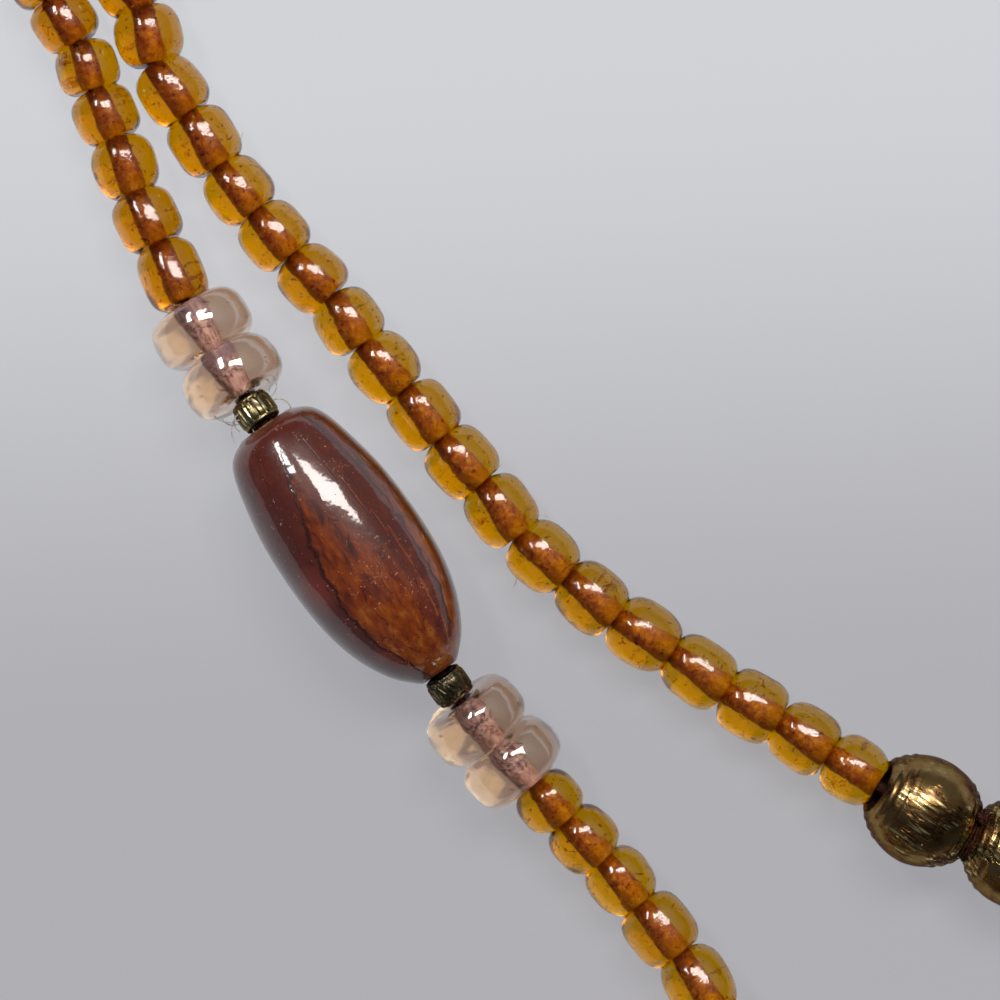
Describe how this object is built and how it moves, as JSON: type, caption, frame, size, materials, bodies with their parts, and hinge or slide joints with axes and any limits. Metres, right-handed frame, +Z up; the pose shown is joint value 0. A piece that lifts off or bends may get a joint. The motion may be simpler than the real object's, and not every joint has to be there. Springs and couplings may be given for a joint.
{
  "type": "beaded necklace",
  "caption": "Closed loop necklace lying flat: amber glass beads on a thread, a glazed barrel bead between brass spacers and pale glass rondelles, and pairs of round brass beads.",
  "frame": {"origin": "middle of the loop's box in plan, on the surface that it lies on", "axes": "+Z up from that surface; X along the loop's longer side, Y along its shorter side"},
  "size_m": [0.222, 0.1918, 0.0112],
  "materials": {
    "amber_glass": "transparent honey glass, wound, slightly uneven",
    "lustre_glaze": "glossy red-brown glaze with a mauve metallic lustre",
    "pale_glass": "pale pink-peach glass with a thin lustre coat",
    "antique_brass": "darkened in the hollows, brushed bright on the heights",
    "thread": "twisted reddish-brown thread"
  },
  "bodies": {
    "root": {"barrel_bead": "lustre_glaze", "spacer_1": "antique_brass", "spacer_2": "antique_brass", "rondelle_1": "pale_glass", "rondelle_2": "pale_glass", "rondelle_3": "pale_glass", "rondelle_4": "pale_glass", "brass_bead_1": "antique_brass", "brass_bead_2": "antique_brass", "brass_bead_3": "antique_brass", "brass_bead_4": "antique_brass", "amber_string_top": "amber_glass", "amber_string_front": "amber_glass", "amber_string_short": "amber_glass", "amber_string_back": "amber_glass", "thread_station": "thread", "thread_brass_front": "thread", "thread_brass_back": "thread"}
  },
  "joints": []
}
